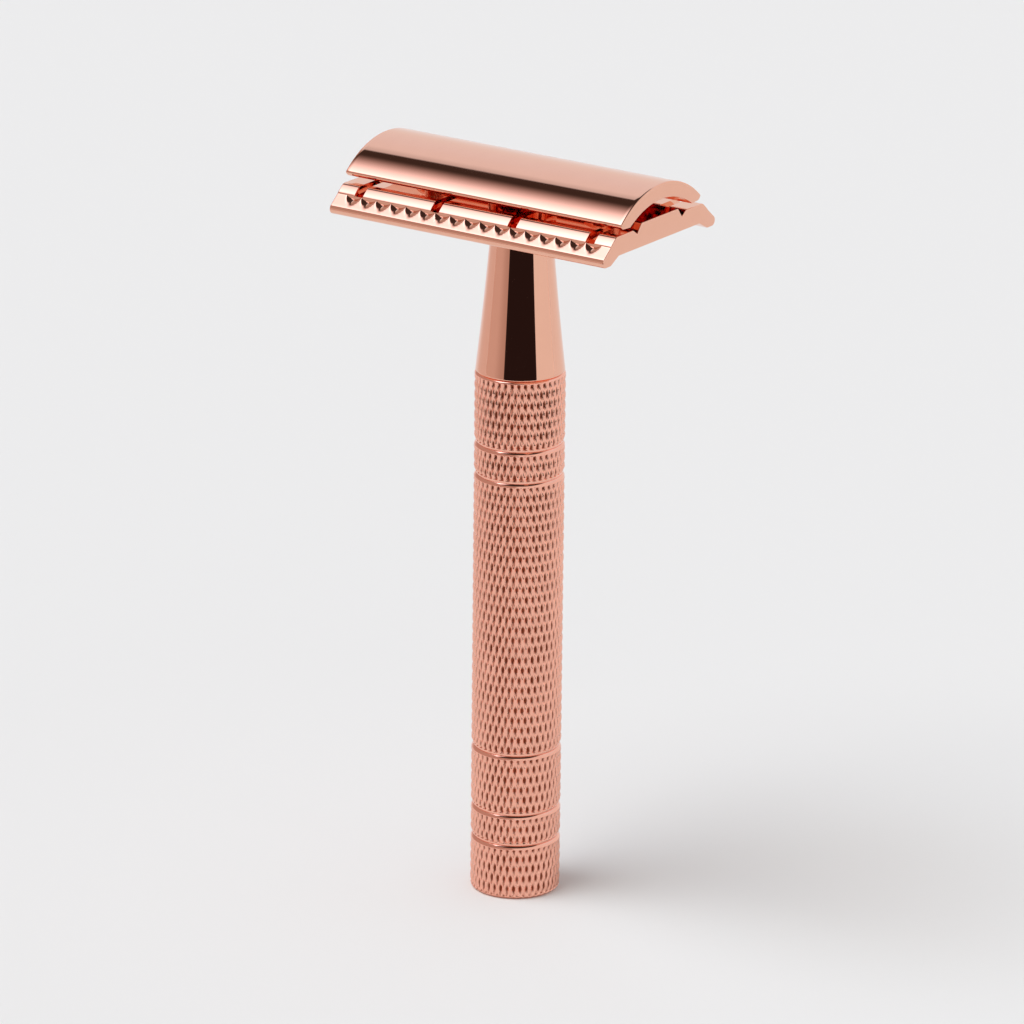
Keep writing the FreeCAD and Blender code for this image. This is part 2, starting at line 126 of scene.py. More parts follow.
# Guard plate's section, each height above its underside.
PLATFORM = (4.2, 3.18)
VEE_ROOT = (5.15, 1.95)
RIDGE_INNER = (6.1, 2.6)
RIDGE_OUTER = (9.95, 2.6)
STRIP_FOOT = (11.2, 1.55)
STRIP_BULGE = 0.02
BAR_ROOT = (11.2, 1.49)
BEAD_CENTRE = (12.276, -0.29)
BEAD_RADIUS = 0.7
BAR_FACE_ANGLE = math.radians(39.2)
UNDERSIDE_EDGE = 9.35
SLOT_SIDES = (6.07, 18.2)
SLOT_WIDTH = 1.3
SCALLOP_COUNT = 17
SCALLOP_SIDE = 18.85
SCALLOP_RADIUS = 1.95
SCALLOP_DEPTH = 0.37
SCALLOP_FALL = math.radians(25)
STUD_HOLE_RADIUS = 2.7
PIN_HOLE_RADIUS = 1.35
PLATE_ROUND = 0.1

# The plate's mesh: the inner and outer reach of the square frame round each hole, the longest step
# between stations, how a slot's side is eased and lined with stations, and points along the outline.
STUD_HOLE_FRAME = (2.1, 3.9)
PIN_HOLE_FRAME = (0.9, 2.1)
PLATE_STEP = 0.14
SLOT_EASING = 0.05
SLOT_SIDE_STEPS = (-0.1, -0.05, -0.02, 0.0, 0.02, 0.05, 0.1)
PLATFORM_STEP = 0.3
PLATFORM_POINTS = 13
UPPER_POINTS = 72
UNDERSIDE_POINTS = 28
BEAD_POINTS = 40
STRIP_POINTS = 12

# Cap's section, each height above the plate's underside.
CAP_LIP = (7.25, 3.2)
CAP_FOOT = (8.75, 3.3)
CAP_EDGE = (9.3, 3.85)
CROWN = 7.55
INNER_CROWN = 5.45
BOSS_RADIUS = 4.5
BOSS_SUNK = 0.6
CAP_OUTER_ROUND = 0.2
CAP_INNER_ROUND = 0.05
CAP_POINTS = 64
CAP_STATIONS = 45
CAP_END_MARGIN = 0.6


# ---------------------------------------------------------------- outlines

def softened(corners, rounds, step=0.01):
    """An outline with rounded corners.

    The outline is walked in even steps. Near each corner named in rounds, every point becomes the mean
    of the stretch that reaches the corner's radius to either side of it, which turns the corner into a
    smooth bend and leaves straight stretches alone.
    """
    corners = np.array(corners, float)
    reached = np.concatenate([[0], np.cumsum(np.hypot(*np.diff(corners, axis=0).T))])
    walk = np.linspace(0, reached[-1], int(reached[-1] / step) + 1)
    path = np.stack([np.interp(walk, reached, column) for column in corners.T], axis=-1)
    result = path.copy()
    for corner, radius in rounds:
        reach = max(int(radius / step), 1)
        middle = int(np.argmin(np.hypot(*(path - np.array(corner)).T)))
        first = max(middle - reach, reach)
        last = min(middle + reach, len(path) - reach - 1)
        totals = np.concatenate([np.zeros((1, 2)), np.cumsum(path, axis=0)])
        places = np.arange(first, last + 1)
        result[places] = (totals[places + reach + 1] - totals[places - reach]) / (2 * reach + 1)
    return result


def spread(path, count, turning=1.0):
    """count points along a path, closer together where it turns: even steps of length plus heading."""
    legs = np.diff(path, axis=0)
    length = np.hypot(*legs.T)
    heading = np.unwrap(np.arctan2(legs[:, 1], legs[:, 0]))
    turn = np.abs(np.gradient(heading))
    measure = length / length.sum() + turning * turn / max(turn.sum(), 1e-9)
    reached = np.concatenate([[0], np.cumsum(measure)])
    wanted = np.linspace(0, reached[-1], count)
    return np.stack([np.interp(wanted, reached, column) for column in path.T], axis=-1)


def circle_arc(chord_end, crown, count=200):
    """The arc from its crown to one end of its chord, which is given as half width and height."""
    rise = crown - chord_end[1]
    radius = (chord_end[0] ** 2 + rise ** 2) / (2 * rise)
    angle = np.linspace(0, math.asin(chord_end[0] / radius), count)
    return np.stack([radius * np.sin(angle), crown - radius + radius * np.cos(angle)], axis=-1)


def mirrored(half):
    """A half outline from the middle outwards, made whole: its mirror image first, then itself."""
    return np.vstack([half[:0:-1] * (-1, 1), half])


def ring_of(upper, lower):
    """One closed ring from an upper and a lower path that share both ends."""
    return np.vstack([upper, lower[-2:0:-1]])


def outward(ring):
    """Unit normals of a closed clockwise ring, pointing out of it."""
    along = np.roll(ring, -1, axis=0) - np.roll(ring, 1, axis=0)
    normal = np.stack([-along[:, 1], along[:, 0]], axis=-1)
    return normal / np.maximum(np.hypot(*normal.T), 1e-9)[:, None]


# ---------------------------------------------------------------- meshes

def grid_faces(index, wrap_rows=False, wrap_columns=False):
    """Quads between neighbours in a two-way array of vertex numbers."""
    if wrap_rows:
        index = np.vstack([index, index[:1]])
    if wrap_columns:
        index = np.hstack([index, index[:, :1]])
    quads = [index[:-1, :-1], index[:-1, 1:], index[1:, 1:], index[1:, :-1]]
    return np.stack(quads, axis=-1).reshape(-1, 4)


def add_piece(name, body, finish, points, face_sets, nodes=(), crease=32.0):
    """A mesh piece from points in millimetres and arrays of faces, in place on its body."""
    corners = np.concatenate([faces.ravel() for faces in face_sets]).astype(np.int32)
    sizes = np.concatenate([np.full(len(faces), faces.shape[1]) for faces in face_sets])
    starts = np.concatenate([[0], np.cumsum(sizes)[:-1]]).astype(np.int32)
    mesh = bpy.data.meshes.new(name)
    mesh.vertices.add(len(points))
    mesh.vertices.foreach_set("co", (points * MM).astype(np.float32).ravel())
    mesh.loops.add(len(corners))
    mesh.loops.foreach_set("vertex_index", corners)
    mesh.polygons.add(len(sizes))
    mesh.polygons.foreach_set("loop_start", starts)
    mesh.update(calc_edges=True)
    mesh.validate()
    mesh.polygons.foreach_set("use_smooth", np.ones(len(mesh.polygons), bool))
    mesh.set_sharp_from_angle(angle=math.radians(crease))
    mesh.materials.append(finish)
    piece = bpy.data.objects.new(name, mesh)
    bpy.context.scene.collection.objects.link(piece)
    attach(piece, body)
    if nodes:
        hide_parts(*nodes)
    return piece


def turned_faces(radii, heights, around, looped=False):
    """A profile turned round the Z axis: x = r cos a, y = r sin a, z = height.

    radii and heights hold one row for each point of the profile, and either one column or one for each
    step round. The profile runs up the outside. Where its first or last radius is nought, a fan of
    triangles meets at a pole; a looped profile joins its last point to its first.
    """
    angle = np.arange(around) / around * TURN
    radii = np.broadcast_to(np.reshape(radii, (len(radii), -1)), (len(radii), around))
    heights = np.broadcast_to(np.reshape(heights, (len(heights), -1)), (len(heights), around))
    points = np.stack([radii * np.cos(angle), radii * np.sin(angle), heights], axis=-1)
    index = np.arange(points.shape[0] * around).reshape(-1, around)
    points = points.reshape(-1, 3)
    if looped:
        return points, [grid_faces(index, wrap_rows=True, wrap_columns=True)]
    body = grid_faces(index[1:-1], wrap_columns=True)
    low, low_next = index[1], np.roll(index[1], -1)
    high, high_next = index[-2], np.roll(index[-2], -1)
    poles = np.full(around, 0), np.full(around, 1)
    fans = [
        np.stack([poles[0], low_next + 2 - around, low + 2 - around], axis=-1),
        np.stack([high + 2 - around, high_next + 2 - around, poles[1]], axis=-1),
    ]
    points = np.vstack([points[:1], points[-1:], points[around:-around]])
    return points, [body + 2 - around, *fans]


def bar_faces(rows):
    """A closed bar along X from rings of points, one for each station, its two ends flat."""
    stations, around = rows.shape[:2]
    index = np.arange(stations * around).reshape(stations, around)
    sides = grid_faces(index, wrap_columns=True)[:, ::-1]
    return index, sides, [index[:1], index[-1:, ::-1]]


def rounded_ends(ring, end, inset, steps=6):
    """Rings at the -X end of a bar: a quarter circle of radius inset from the end face to its sides."""
    normal = outward(ring)
    angle = np.linspace(math.pi / 2, 0, steps + 1)[:, None]
    across = inset * (1 - np.cos(angle))
    along = -end + inset * (1 - np.sin(angle))
    section = ring[None] - normal[None] * across[:, :, None]
    return np.concatenate([along[:, :, None], section], axis=-1)


def with_both_ends(first_end, middle):
    """Rings of the -X end, the middle stations, and the same end mirrored to +X."""
    last_end = first_end[::-1] * (-1, 1, 1)
    return np.concatenate([first_end, middle, last_end])


# ---------------------------------------------------------------- node helpers

def add_node(tree, kind, inputs=(), **settings):
    """A shader node with its settings, and its inputs set to numbers or joined to other nodes' sockets."""
    made = tree.nodes.new(kind)
    for key, value in settings.items():
        setattr(made, key, value)
    for key, value in dict(inputs).items():
        if isinstance(value, bpy.types.NodeSocket):
            tree.links.new(value, made.inputs[key])
        else:
            made.inputs[key].default_value = value
    return made


def math_node(tree, operation, first, second=0.0, third=0.0):
    """The result of an operation on two or three values."""
    return add_node(tree, "ShaderNodeMath", {0: first, 1: second, 2: third}, operation=operation).outputs[0]


def eased(tree, value, span, to_low, to_high):
    """value carried smoothly from the span's two ends to to_low and to_high, and held outside."""
    inputs = {"Value": value, "From Min": span[0], "From Max": span[1], "To Min": to_low, "To Max": to_high}
    return add_node(tree, "ShaderNodeMapRange", inputs, interpolation_type="SMOOTHSTEP").outputs["Result"]


def rising(tree, value, span):
    """Nought below the span, one above it, smooth between."""
    return eased(tree, value, span, 0.0, 1.0)


def falling(tree, value, span):
    """One below the span, nought above it, smooth between."""
    return eased(tree, value, span, 1.0, 0.0)


def add_noise(tree, place, scale, detail):
    """Noise at a place, in features of about one over its scale in metres."""
    made = add_node(tree, "ShaderNodeTexNoise", {"Vector": place, "Scale": scale, "Detail": detail})
    return made.outputs["Fac"]


def new_group(name, inputs, outputs):
    """An empty shader node group with named sockets: (tree, its input node's sockets, its output node)."""
    tree = bpy.data.node_groups.new(name, "ShaderNodeTree")
    for label, kind, value in inputs:
        socket = tree.interface.new_socket(label, in_out="INPUT", socket_type=kind)
        socket.default_value = value
    for label, kind in outputs:
        tree.interface.new_socket(label, in_out="OUTPUT", socket_type=kind)
    entry = tree.nodes.new("NodeGroupInput")
    leave = tree.nodes.new("NodeGroupOutput")
    return tree, entry.outputs, leave


def fine_polish_group():
    """Polish of a plated surface: a faint long wave, buffing streaks, and a patchy haze of handling."""
    tree, given, leave = new_group(
        "fine_polish",
        [
            ("Vector", "NodeSocketVector", (0, 0, 0)),
            ("Smooth", "NodeSocketFloat", 0.05),
            ("Haze", "NodeSocketFloat", 0.04),
            ("Streaks", "NodeSocketFloat", 0.3),
        ],
        [("Roughness", "NodeSocketFloat"), ("Height", "NodeSocketFloat")],
    )
    patches = add_noise(tree, given["Vector"], 160.0, 3.0)
    stretched = add_node(tree, "ShaderNodeMapping", {"Vector": given["Vector"], "Scale": (0.12, 1.0, 1.0)})
    streaks = add_noise(tree, stretched.outputs[0], 5200.0, 2.0)
    waves = add_noise(tree, given["Vector"], 230.0, 1.0)
    hazed = rising(tree, patches, (0.42, 0.72))
    extra = math_node(tree, "MULTIPLY", hazed, given["Haze"])
    tree.links.new(math_node(tree, "ADD", given["Smooth"], extra), leave.inputs["Roughness"])
    marks = math_node(tree, "MULTIPLY", streaks, given["Streaks"])
    tree.links.new(math_node(tree, "ADD", marks, waves), leave.inputs["Height"])
    return tree


def plate_tint_group():
    """Colour of the plating: its own, nearer to a darker colour by painted shade in the pits, and by a slow
    drift elsewhere.
    """
    tree, given, leave = new_group(
        "plate_tint",
        [
            ("Vector", "NodeSocketVector", (0, 0, 0)),
            ("Plate", "NodeSocketColor", (0.9, 0.52, 0.39, 1)),
            ("ShadeAndDrift", "NodeSocketColor", (0.55, 0.2, 0.11, 1)),
            ("Depth", "NodeSocketFloat", 0.0),
            ("Drift", "NodeSocketFloat", 0.06),
        ],
        [("Color", "NodeSocketColor")],
    )
    shade = rising(tree, add_noise(tree, given["Vector"], 420.0, 4.0), (0.3, 0.7))
    amount = math_node(tree, "MULTIPLY", shade, given["Drift"])
    both = add_node(
        tree, "ShaderNodeMath", {0: given["Depth"], 1: amount}, operation="ADD", use_clamp=True
    )
    mixed = add_node(tree, "ShaderNodeMix", data_type="RGBA")
    tree.links.new(both.outputs[0], mixed.inputs[0])
    tree.links.new(given["Plate"], mixed.inputs[6])
    tree.links.new(given["ShadeAndDrift"], mixed.inputs[7])
    tree.links.new(mixed.outputs[2], leave.inputs["Color"])
    return tree


def turning_marks_group():
    """Marks of the lathe: fine rings along the handle's axis, uneven in depth."""
    tree, given, leave = new_group(
        "turning_marks",
        [("Vector", "NodeSocketVector", (0, 0, 0)), ("Feed", "NodeSocketFloat", 0.00012)],
        [("Height", "NodeSocketFloat")],
    )
    place = add_node(tree, "ShaderNodeSeparateXYZ", {"Vector": given["Vector"]})
    turns = math_node(tree, "DIVIDE", place.outputs["Z"], given["Feed"])
    wave = math_node(tree, "SINE", math_node(tree, "MULTIPLY", turns, TURN))
    uneven = add_noise(tree, given["Vector"], 900.0, 2.0)
    tree.links.new(math_node(tree, "MULTIPLY", wave, uneven), leave.inputs["Height"])
    return tree


def new_finish(name):
    """A node material with its Principled shader: (material, tree, shader)."""
    material = bpy.data.materials.new(name)
    material.use_nodes = True
    tree = material.node_tree
    shader = tree.nodes["Principled BSDF"]
    shader.inputs["Metallic"].default_value = 1.0
    return material, tree, shader


def place_group(tree, group, inputs):
    """A node group placed in a material."""
    made = tree.nodes.new("ShaderNodeGroup")
    made.node_tree = group
    for key, value in inputs.items():
        if isinstance(value, bpy.types.NodeSocket):
            tree.links.new(value, made.inputs[key])
        else:
            made.inputs[key].default_value = value
    return made


def add_relief(tree, shader, height, strength, distance):
    """A bump on the shader's normal."""
    bump = add_node(tree, "ShaderNodeBump", {"Height": height, "Strength": strength, "Distance": distance})
    tree.links.new(bump.outputs["Normal"], shader.inputs["Normal"])


# ---------------------------------------------------------------- finishes

FINE_POLISH = fine_polish_group()
PLATE_TINT = plate_tint_group()
TURNING_MARKS = turning_marks_group()

ROSE_GOLD = (0.9, 0.49, 0.355, 1)
ROSE_HOLLOW = (0.5, 0.17, 0.09, 1)
# Painted shade: the dark colour painted into the knurl's pits by their depth; the knurl's slow colour drift
# also leans to it.
ROSE_PIT_SHADE_AND_DRIFT = (0.2, 0.045, 0.02, 1)
ROSE_KNURL = (0.98, 0.49, 0.365, 1)
PAINTED_PIT_SHADE_SPAN = (0.22, 0.75)
PIT_DULLING = 0.12
GROOVE_ROUGHNESS = 0.06
BRASS = (0.72, 0.5, 0.2, 1)
BRASS_HOLLOW = (0.4, 0.24, 0.08, 1)
STEEL = (0.56, 0.57, 0.58, 1)
STEEL_HOLLOW = (0.3, 0.28, 0.27, 1)


def polished_plate():
    """Mirror-polished rose-gold plate."""
    material, tree, shader = new_finish("polished_plate")
    place = add_node(tree, "ShaderNodeTexCoord").outputs["Object"]
    polish = place_group(
        tree, FINE_POLISH, {"Vector": place, "Smooth": 0.03, "Haze": 0.02, "Streaks": 0.15}
    )
    tint = place_group(
        tree, PLATE_TINT,
        {"Vector": place, "Plate": ROSE_GOLD, "ShadeAndDrift": ROSE_HOLLOW, "Drift": 0.025},
    )
    tree.links.new(polish.outputs["Roughness"], shader.inputs["Roughness"])
    tree.links.new(tint.outputs["Color"], shader.inputs["Base Color"])
    add_relief(tree, shader, polish.outputs["Height"], strength=0.03, distance=0.00004)
    return material


def knurled_plate():
    """The same plate over the knurling: satin ridges, duller down in the pits, with a darker colour painted
    there as shade.
    """
    material, tree, shader = new_finish("knurled_plate")
    place = add_node(tree, "ShaderNodeTexCoord").outputs["Object"]
    pit = add_node(tree, "ShaderNodeAttribute", attribute_name="pit_depth").outputs["Fac"]
    knurled = add_node(tree, "ShaderNodeAttribute", attribute_name="knurled").outputs["Fac"]
    satin = place_group(tree, FINE_POLISH, {"Vector": place, "Smooth": 0.14, "Haze": 0.1, "Streaks": 0.8})
    # Painted shade: the colour is darkened down in the pits by their depth.
    tint = place_group(
        tree, PLATE_TINT,
        {
            "Vector": place, "Plate": ROSE_KNURL, "ShadeAndDrift": ROSE_PIT_SHADE_AND_DRIFT,
            "Depth": rising(tree, pit, PAINTED_PIT_SHADE_SPAN), "Drift": 0.06,
        },
    )
    dulled = math_node(tree, "MULTIPLY_ADD", pit, PIT_DULLING, satin.outputs["Roughness"])
    roughness = math_node(tree, "MAXIMUM", math_node(tree, "MULTIPLY", dulled, knurled), GROOVE_ROUGHNESS)
    tree.links.new(roughness, shader.inputs["Roughness"])
    tree.links.new(tint.outputs["Color"], shader.inputs["Base Color"])
    height = math_node(tree, "MULTIPLY", satin.outputs["Height"], knurled)
    add_relief(tree, shader, height, strength=0.25, distance=0.00004)
    return material


def turned_finish(name, colour, hollow, smooth, feed):
    """A turned metal surface: rings of the tool over a drifting colour."""
    material, tree, shader = new_finish(name)
    place = add_node(tree, "ShaderNodeTexCoord").outputs["Object"]
    satin = place_group(
        tree, FINE_POLISH, {"Vector": place, "Smooth": smooth, "Haze": 0.12, "Streaks": 0.5}
    )
    tint = place_group(
        tree, PLATE_TINT, {"Vector": place, "Plate": colour, "ShadeAndDrift": hollow, "Drift": 0.25}
    )
    rings = place_group(tree, TURNING_MARKS, {"Vector": place, "Feed": feed})
    tree.links.new(satin.outputs["Roughness"], shader.inputs["Roughness"])
    tree.links.new(tint.outputs["Color"], shader.inputs["Base Color"])
    add_relief(tree, shader, rings.outputs["Height"], strength=0.3, distance=0.00002)
    return material


POLISHED = polished_plate()
KNURLED = knurled_plate()
STUD_PLATE = turned_finish("stud_plate", ROSE_GOLD, ROSE_HOLLOW, smooth=0.16, feed=0.00009)
BARE_BRASS = turned_finish("bare_brass", BRASS, BRASS_HOLLOW, smooth=0.24, feed=0.00014)
BARE_STEEL = turned_finish("bare_steel", STEEL, STEEL_HOLLOW, smooth=0.3, feed=0.0002)


# ---------------------------------------------------------------- handle

def knurl_depth(angle, height):
    """The knurling at each place: how deep it lies, and how near it is to where two grooves cross.

    Two families of grooves wind round the grip both ways. u and v count the grooves passed along each
    family, and into_u and into_v are the rises into the nearest groove of each, as straight-sided V
    shapes. A crossing is the root of their product, and the depth is a share of the deeper groove and
    the rest of the crossing. Each crossing differs a little from its neighbours.
    """
    across = angle / TURN * KNURL_STARTS
    climb = height / KNURL_LEAD
    u = across + climb
    v = across - climb
    into_u = np.clip(1 - np.abs(u - np.round(u)) / KNURL_GROOVE, 0, 1)
    into_v = np.clip(1 - np.abs(v - np.round(v)) / KNURL_GROOVE, 0, 1)
    mixed = np.sin(np.round(u) * KNURL_SCRAMBLE[0] + np.round(v) * KNURL_SCRAMBLE[1]) * KNURL_SCRAMBLE[2]
    own = 1 - KNURL_UNEVEN + KNURL_UNEVEN * (mixed - np.floor(mixed))
    crossing = own * np.sqrt(into_u * into_v)
    return KNURL_ALONG * np.maximum(into_u, into_v) + (1 - KNURL_ALONG) * crossing, crossing


def band_radius(height, low, high):
    """Radius of a band before knurling: full in the middle, bevelled at its foot and rounded at its top."""
    foot_depth, foot_rise = (RIM_CHAMFER, RIM_CHAMFER) if low == 0 else (GROOVE_DEPTH, GROOVE_BEVEL)
    at_top = high > GROOVE_ROOTS[-1]
    head_depth, head_rise = (RIM_CHAMFER, RIM_CHAMFER) if at_top else (GROOVE_DEPTH, GROOVE_LAND)
    foot = GRIP_RADIUS - foot_depth * np.clip(1 - (height - low) / foot_rise, 0, 1)
    head = GRIP_RADIUS - head_depth * np.clip(1 - (high - height) / head_rise, 0, 1) ** EDGE_ROUNDING
    return np.minimum(foot, head)


def knurled_share(height, low, high):
    """How much of the knurling each height of a band carries: none at its two ends, all between them."""
    head = RIM_CHAMFER if high > GROOVE_ROOTS[-1] else GROOVE_LAND
    from_end = np.minimum(height - low - KNURL_MARGIN, high - head - height)
    share = np.clip(from_end / KNURL_FADE, 0, 1)
    return share * share * (3 - 2 * share)


def grip_band(name, low, high, nodes=()):
    """One knurled band of the grip, from groove to groove, with its share of the bore.

    The pits run out before the bevels at the two ends, which stay smooth.
    """
    around = KNURL_STARTS * KNURL_COLUMNS
    spacing = KNURL_LEAD / KNURL_ROWS
    first = math.ceil((low + KNURL_END_ROW) / spacing)
    last = math.floor((high - KNURL_END_ROW) / spacing)
    reach = np.array([[GROOVE_BEVEL], [-GROOVE_LAND]])
    bevels = np.linspace(0, 1, BEVEL_POINTS) * reach + np.array([[low], [high]])
    rims = np.array([low + RIM_CHAMFER, high - RIM_CHAMFER])
    ends = np.concatenate([bevels.ravel(), rims])
    level = np.unique(np.concatenate([ends, np.arange(first, last + 1) * spacing]))
    angle = np.arange(around) / around * TURN
    plain = band_radius(level, low, high)[:, None]
    share = knurled_share(level, low, high)[:, None]
    depth, crossing = knurl_depth(angle[None], level[:, None])
    outside = plain - KNURL_DEPTH * depth * share
    inside = np.full((2, around), BORE_RADIUS)
    radii = np.vstack([outside, inside])
    heights = np.concatenate([level, [high, low]])
    points, faces = turned_faces(radii, heights, around, looped=True)
    piece = add_piece(name, "handle", KNURLED, points, faces, nodes, crease=75.0)
    knurled = np.broadcast_to(share, outside.shape)
    for attribute, shares in (("pit_depth", crossing * share), ("knurled", knurled)):
        values = np.concatenate([shares.ravel(), np.zeros(2 * around)]).astype(np.float32)
        piece.data.attributes.new(attribute, "FLOAT", "POINT").data.foreach_set("value", values)
    return piece


def grip():
    """The six bands of the knurled tube."""
    names = ("foot", "lower_collar", "lower", "main", "upper_collar", "top")
    levels = (0.0, *GROOVE_ROOTS, GRIP_TOP)
    for place, name in enumerate(names):
        nodes = ("grip_tube",) if name == "main" else ()
        grip_band("grip_band_" + name, levels[place], levels[place + 1], nodes)


def turned_piece(name, body, finish, profile, rounds, nodes, count, around=160):
    """A piece turned from one profile of (radius, height) corners, some of them rounded."""
    path = spread(softened(profile, rounds), count)
    path[0, 0] = 0.0
    path[-1, 0] = 0.0
    points, faces = turned_faces(path[:, 0], path[:, 1], around)
    return add_piece(name, body, finish, points, faces, nodes)


def neck():
    """The polished neck: a cone, hollowed a little along its side, on a spigot, bored from the top."""
    share = np.linspace(0, 1, 60)
    cone = NECK_FOOT_RADIUS + (NECK_TOP_RADIUS - NECK_FOOT_RADIUS) * share
    cone = cone - 4 * NECK_FLARE * share * (1 - share)
    side = np.stack([cone, GRIP_TOP + (PLATE_LEVEL - GRIP_TOP) * share], axis=-1)
    profile = [
        (0, GRIP_TOP - SPIGOT_LENGTH),
        (BORE_RADIUS, GRIP_TOP - SPIGOT_LENGTH),
        (BORE_RADIUS, GRIP_TOP),
        *side.tolist(),
        (BUSH_RADIUS, PLATE_LEVEL),
        (BUSH_RADIUS, BUSH_FOOT),
        (RELIEF_RADIUS, BUSH_FOOT),
        (RELIEF_RADIUS, BUSH_FOOT - RELIEF_DEPTH),
        (0, BUSH_FOOT - RELIEF_DEPTH),
    ]
    rounds = [
        ((BORE_RADIUS, GRIP_TOP - SPIGOT_LENGTH), 0.3),
        ((NECK_FOOT_RADIUS, GRIP_TOP), 0.14),
        ((NECK_TOP_RADIUS, PLATE_LEVEL), 0.06),
        ((BUSH_RADIUS, PLATE_LEVEL), 0.08),
    ]
    turned_piece(
        "neck", "handle", POLISHED, profile, rounds, ("handle_neck",),
        count=150, around=256,
    )


def plug():
    """The plug in the foot of the tube: its face is dished round a small centre mark."""
    profile = [
        *((radius, PLUG_FOOT + rise) for radius, rise in PLUG_DISH),
        (BORE_RADIUS - PLUG_CHAMFER, PLUG_FOOT),
        (BORE_RADIUS, PLUG_FOOT + PLUG_CHAMFER),
        (BORE_RADIUS, PLUG_TOP),
        (0, PLUG_TOP),
    ]
    rounds = [(corner, 0.15) for corner in profile[1:-1]]
    turned_piece(
        "foot_plug", "handle", POLISHED, profile, rounds, ("end_plug",), count=60
    )


def thread_wave(angle, height):
    """Rise of a right-hand thread, nought at its roots and one at its crests: a clipped triangle wave."""
    turns = height / THREAD_PITCH - angle / TURN
    slope = 1 - 2 * np.abs(turns - np.floor(turns) - 0.5)
    return np.clip((slope - THREAD_FLAT) / (1 - 2 * THREAD_FLAT), 0, 1)


def stud():
    """The stud: a chamfered shank whose thread runs out below the boss."""
    rows = np.arange(STUD_FOOT, STUD_TOP, THREAD_PITCH / THREAD_ROWS)
    level = np.concatenate([[STUD_FOOT], rows, [STUD_TOP] * 2])
    angle = np.arange(THREAD_AROUND) / THREAD_AROUND * TURN
    root = STUD_RADIUS - THREAD_DEPTH
    threaded = root + THREAD_DEPTH * thread_wave(angle[None], level[:, None])
    run_out = np.clip((level - PLATE_LEVEL - STUD_SHANK) / THREAD_PITCH, 0, 1)[:, None]
    radius = threaded + (STUD_RADIUS - threaded) * run_out
    chamfer = STUD_RADIUS - STUD_CHAMFER + np.clip(level - STUD_FOOT, 0, STUD_CHAMFER)
    radius = np.minimum(radius, chamfer[:, None])
    radius[0] = 0
    radius[-1] = 0
    points, faces = turned_faces(radius, level, THREAD_AROUND)
    add_piece(
        "threaded_stud", "cap_set", STUD_PLATE, points, faces, ("cap_stud",), crease=50.0
    )


def bush():
    """The tapped bush: a plain outside, and a thread cut outwards from its bore."""
    row = THREAD_PITCH / THREAD_ROWS
    level = np.arange(BUSH_FOOT, PLATE_LEVEL + row / 2, row)
    level[-1] = PLATE_LEVEL
    angle = np.arange(THREAD_AROUND) / THREAD_AROUND * TURN
    down = level[::-1]
    cut = THREAD_DEPTH * (1 - thread_wave(angle[None], down[:, None]))
    inside = np.minimum(BUSH_BORE + cut, BUSH_RADIUS - BUSH_LEAST_WALL)
    outside = np.full((2, THREAD_AROUND), BUSH_RADIUS)
    radii = np.vstack([outside, inside])
    heights = np.concatenate([[BUSH_FOOT, PLATE_LEVEL], down])
    points, faces = turned_faces(radii, heights, THREAD_AROUND, looped=True)
    add_piece(
        "tapped_bush", "handle", BARE_BRASS, points, faces, ("thread_bush",), crease=50.0
    )


def locating_pins():
    """The two pins, with rounded lower ends."""
    for name, side in (("left", -1), ("right", 1)):
        profile = [
            (0, PIN_FOOT),
            (PIN_RADIUS - PIN_CHAMFER, PIN_FOOT),
            (PIN_RADIUS, PIN_FOOT + PIN_CHAMFER),
            (PIN_RADIUS, PIN_TOP),
            (0, PIN_TOP),
        ]
        path = spread(softened(profile, [(profile[1], 0.2), (profile[2], 0.2)]), count=32)
        path[[0, -1], 0] = 0.0
        points, faces = turned_faces(path[:, 0], path[:, 1], around=48)
        points = points + (side * PIN_SIDE, 0, 0)
        node = "locating_pin_" + name
        add_piece("pin_" + name, "cap_set", STUD_PLATE, points, faces, (node,))


# ---------------------------------------------------------------- head

def bead_arc(first, last):
    """The bead's outline from one angle to another, each measured up from straight outwards."""
    angle = np.linspace(first, last, BEAD_POINTS)
    return np.array(BEAD_CENTRE) + BEAD_RADIUS * np.stack([np.cos(angle), np.sin(angle)], axis=-1)


def plate_ring():
    """The plate's closed section: platform, vee, ridge, strip and bar above, and the plain underside.

    The bar ends in a round bead. Under the platform each lower point stands straight under its upper
    one; beyond it the lower path has fewer points.
    """
    along = np.linspace(0, 1, STRIP_POINTS)[:, None]
    strip = np.array(RIDGE_OUTER) * (1 - along) + np.array(STRIP_FOOT) * along
    strip = strip + 4 * STRIP_BULGE * along * (1 - along)
    beyond_platform = [
        (PLATFORM[0] - PLATFORM_STEP, PLATFORM[1]), PLATFORM, VEE_ROOT, RIDGE_INNER, *strip.tolist(),
        BAR_ROOT, *bead_arc(math.pi / 2 - BAR_FACE_ANGLE, 0).tolist(),
    ]
    rounds = [
        (PLATFORM, 0.09), (VEE_ROOT, 0.06), (RIDGE_INNER, 0.09), (RIDGE_OUTER, 0.3),
        (STRIP_FOOT, 0.05), (BAR_ROOT, 0.05),
    ]
    flat = np.arange(PLATFORM_POINTS) * PLATFORM_STEP
    platform = np.stack([flat, np.full(PLATFORM_POINTS, PLATFORM[1])], axis=-1)
    upper = np.vstack([platform, spread(softened(beyond_platform, rounds), UPPER_POINTS, turning=1.3)])
    under = np.vstack([platform, beyond_platform[:1]]) * (1, 0)
    slope_foot = (STRIP_FOOT[0], BEAD_CENTRE[1] - BEAD_RADIUS)
    outer_path = np.vstack([under[-1:], [(UNDERSIDE_EDGE, 0), slope_foot], bead_arc(-math.pi / 2, 0)])
    dense = softened(outer_path, [((UNDERSIDE_EDGE, 0), 0.15), (slope_foot, 0.15)])
    lower = np.vstack([under, spread(dense, UNDERSIDE_POINTS)[1:]])
    lower[-1] = upper[-1]
    return mirrored(upper), mirrored(lower)


